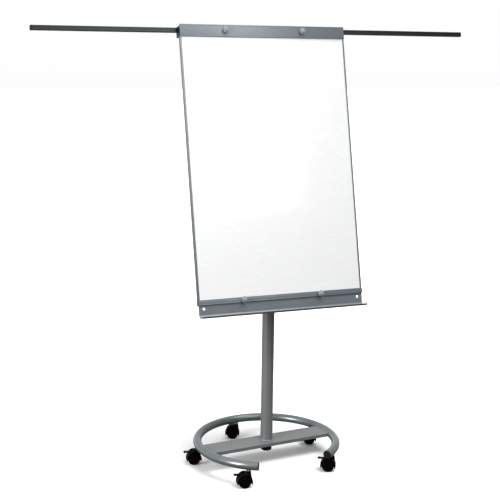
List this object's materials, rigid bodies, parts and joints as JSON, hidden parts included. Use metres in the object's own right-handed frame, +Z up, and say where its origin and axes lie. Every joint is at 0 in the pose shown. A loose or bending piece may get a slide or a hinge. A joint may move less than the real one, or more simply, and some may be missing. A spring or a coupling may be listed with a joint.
{
  "type": "flipchart easel",
  "caption": "Mobile flipchart easel: tilting board with pad clamps, pen tray and pull-out side arms on a height-adjustable column over a round castor base.",
  "frame": {"origin": "on the floor, on the column's axis", "axes": "+Z up, +X along the board to the reader's right, the white face looks towards -Y"},
  "size_m": [1.832, 0.5915, 1.7794],
  "materials": {
    "frame_paint": "satin powder coat",
    "beam_paint": "satin powder coat",
    "column_paint": "satin powder coat",
    "mast_chrome": "bright plated",
    "clamp_paint": "satin powder coat",
    "tray_paint": "satin powder coat",
    "rail_aluminium": "grey anodised",
    "arm_aluminium": "dark grey anodised",
    "profile_aluminium": "grey anodised",
    "white_steel": "gloss dry-wipe lacquer",
    "core_board": "raw fibreboard",
    "back_steel": "plain sheet",
    "knob_plastic": "moulded",
    "black_plastic": "moulded",
    "bush_plastic": "natural",
    "castor_plastic": "moulded",
    "castor_tread": "moulded",
    "zinc_steel": "zinc plated",
    "bracket_paint": "satin powder coat"
  },
  "bodies": {
    "base": {"base_ring": "frame_paint", "ring_end_caps": "black_plastic", "cross_beam": "beam_paint", "column_foot_plug": "zinc_steel", "foot_washer": "zinc_steel", "foot_bolt": "zinc_steel", "foot_cap": "black_plastic", "base_locating_screw": "zinc_steel", "castor_stems": "zinc_steel", "column_outer_tube": "column_paint", "column_top_bush": "bush_plastic", "height_clamp_collar": "black_plastic"},
    "mast": {"column_inner_tube": "mast_chrome", "mast_guide_bush": "bush_plastic", "mast_top_plug": "zinc_steel"},
    "head": {"swivel_head": "bracket_paint"},
    "board": {"board_face_sheet": "white_steel", "board_core": "core_board", "board_back_sheet": "back_steel", "side_profiles": "profile_aluminium", "top_rail": "rail_aluminium", "rail_end_cap_left": "black_plastic", "rail_end_cap_right": "black_plastic", "bottom_rail": "rail_aluminium", "bottom_rail_end_caps": "black_plastic", "pen_tray": "tray_paint", "tray_screws": "zinc_steel", "clamp_studs": "zinc_steel", "tilt_bracket": "bracket_paint", "bracket_screws": "zinc_steel", "frame_screws": "zinc_steel", "tilt_bolt": "zinc_steel", "tilt_friction_washers": "bush_plastic"},
    "arm_left": {"arm_left_tube": "arm_aluminium", "arm_left_end_cap": "black_plastic", "arm_left_guide_shoe": "bush_plastic"},
    "arm_right": {"arm_right_tube": "arm_aluminium", "arm_right_end_cap": "black_plastic", "arm_right_guide_shoe": "bush_plastic"},
    "top_clamp": {"top_clamp_bar": "clamp_paint"},
    "bottom_clamp": {"bottom_clamp_bar": "clamp_paint"},
    "height_knob": {"height_lock_knob": "black_plastic"},
    "tilt_handle": {"tilt_knob": "black_plastic"},
    "top_knob_left": {"top_clamp_knob_left": "knob_plastic"},
    "top_knob_right": {"top_clamp_knob_right": "knob_plastic"},
    "bottom_knob_left": {"bottom_clamp_knob_left": "knob_plastic"},
    "bottom_knob_right": {"bottom_clamp_knob_right": "knob_plastic"},
    "castor_front_left": {"castor_front_left_housing": "castor_plastic"},
    "wheels_front_left": {"castor_front_left_wheel_pair": "castor_tread"},
    "castor_front_right": {"castor_front_right_housing": "castor_plastic"},
    "wheels_front_right": {"castor_front_right_wheel_pair": "castor_tread"},
    "castor_side_left": {"castor_side_left_housing": "castor_plastic"},
    "wheels_side_left": {"castor_side_left_wheel_pair": "castor_tread"},
    "castor_side_right": {"castor_side_right_housing": "castor_plastic"},
    "wheels_side_right": {"castor_side_right_wheel_pair": "castor_tread"},
    "castor_rear": {"castor_rear_housing": "castor_plastic"},
    "wheels_rear": {"castor_rear_wheel_pair": "castor_tread"},
    "pedal_front_left": {"castor_front_left_brake_pedal": "castor_plastic"},
    "pedal_front_right": {"castor_front_right_brake_pedal": "castor_plastic"},
    "pedal_side_left": {"castor_side_left_brake_pedal": "castor_plastic"}
  },
  "joints": [
    {"name": "height", "type": "slide", "parent": "base", "child": "mast", "axis": [0, 0, 1], "range_m": [-0.11, 0.2]},
    {"name": "head_swivel", "type": "hinge", "parent": "mast", "child": "head", "pos_m": [0, 0, 1.0465], "axis": [0, 0, 1], "range_deg": [-90, 90]},
    {"name": "board_tilt", "type": "hinge", "parent": "head", "child": "board", "pos_m": [0, 0, 1.0765], "axis": [-1, 0, 0], "range_deg": [-12.8, 32.2]},
    {"name": "arm_left_slide", "type": "slide", "parent": "board", "child": "arm_left", "axis": [1, 0, 0], "range_m": [0, 0.553]},
    {"name": "arm_right_slide", "type": "slide", "parent": "board", "child": "arm_right", "axis": [-1, 0, 0], "range_m": [0, 0.553]},
    {"name": "top_clamp_lift", "type": "slide", "parent": "board", "child": "top_clamp", "axis": [0, -0.9751, 0.2215], "range_m": [0, 0.005]},
    {"name": "bottom_clamp_lift", "type": "slide", "parent": "board", "child": "bottom_clamp", "axis": [0, -0.9751, 0.2215], "range_m": [0, 0.005]},
    {"name": "top_knob_left_turn", "type": "hinge", "parent": "top_clamp", "child": "top_knob_left", "pos_m": [-0.163, 0.08399, 1.75988], "axis": [0, -0.9751, 0.2215], "continuous": true},
    {"name": "top_knob_right_turn", "type": "hinge", "parent": "top_clamp", "child": "top_knob_right", "pos_m": [0.163, 0.08399, 1.75988], "axis": [0, -0.9751, 0.2215], "continuous": true},
    {"name": "bottom_knob_left_turn", "type": "hinge", "parent": "bottom_clamp", "child": "bottom_knob_left", "pos_m": [-0.163, -0.14864, 0.73597], "axis": [0, -0.9751, 0.2215], "continuous": true},
    {"name": "bottom_knob_right_turn", "type": "hinge", "parent": "bottom_clamp", "child": "bottom_knob_right", "pos_m": [0.163, -0.14864, 0.73597], "axis": [0, -0.9751, 0.2215], "continuous": true},
    {"name": "height_knob_turn", "type": "hinge", "parent": "base", "child": "height_knob", "pos_m": [0, 0.05, 0.8805], "axis": [0, 1, 0], "continuous": true},
    {"name": "tilt_knob_turn", "type": "hinge", "parent": "board", "child": "tilt_handle", "pos_m": [0.04, 0, 1.0765], "axis": [1, 0, 0], "continuous": true},
    {"name": "castor_front_left_swivel", "type": "hinge", "parent": "base", "child": "castor_front_left", "pos_m": [-0.17112, -0.23041, 0.06], "axis": [0, 0, 1], "continuous": true},
    {"name": "wheels_front_left_roll", "type": "hinge", "parent": "castor_front_left", "child": "wheels_front_left", "pos_m": [-0.18692, -0.22791, 0.025], "axis": [0.1564, 0.9877, 0], "continuous": true},
    {"name": "castor_front_right_swivel", "type": "hinge", "parent": "base", "child": "castor_front_right", "pos_m": [0.20853, -0.19719, 0.06], "axis": [0, 0, 1], "continuous": true},
    {"name": "wheels_front_right_roll", "type": "hinge", "parent": "castor_front_right", "child": "wheels_front_right", "pos_m": [0.19453, -0.18944, 0.025], "axis": [0.4848, 0.8746, 0], "continuous": true},
    {"name": "castor_side_left_swivel", "type": "hinge", "parent": "base", "child": "castor_side_left", "pos_m": [-0.27987, 0.06358, 0.06], "axis": [0, 0, 1], "continuous": true},
    {"name": "wheels_side_left_roll", "type": "hinge", "parent": "castor_side_left", "child": "wheels_side_left", "pos_m": [-0.29552, 0.06691, 0.025], "axis": [0.2079, 0.9781, 0], "continuous": true},
    {"name": "castor_side_right_swivel", "type": "hinge", "parent": "base", "child": "castor_side_right", "pos_m": [0.26458, 0.11122, 0.06], "axis": [0, 0, 1], "continuous": true},
    {"name": "wheels_side_right_roll", "type": "hinge", "parent": "castor_side_right", "child": "wheels_side_right", "pos_m": [0.24927, 0.11589, 0.025], "axis": [0.2924, 0.9563, 0], "continuous": true},
    {"name": "castor_rear_swivel", "type": "hinge", "parent": "base", "child": "castor_rear", "pos_m": [-0.02501, 0.28591, 0.06], "axis": [0, 0, 1], "continuous": true},
    {"name": "wheels_rear_roll", "type": "hinge", "parent": "castor_rear", "child": "wheels_rear", "pos_m": [-0.03974, 0.29216, 0.025], "axis": [0.3907, 0.9205, 0], "continuous": true},
    {"name": "brake_front_left_press", "type": "hinge", "parent": "castor_front_left", "child": "pedal_front_left", "pos_m": [-0.1968, -0.22634, 0.0539], "axis": [-0.1564, -0.9877, 0], "range_deg": [0, 12]},
    {"name": "brake_front_right_press", "type": "hinge", "parent": "castor_front_right", "child": "pedal_front_right", "pos_m": [0.18579, -0.18459, 0.0539], "axis": [-0.4848, -0.8746, 0], "range_deg": [0, 12]},
    {"name": "brake_side_left_press", "type": "hinge", "parent": "castor_side_left", "child": "pedal_side_left", "pos_m": [-0.3053, 0.06899, 0.0539], "axis": [-0.2079, -0.9781, 0], "range_deg": [0, 12]}
  ]
}
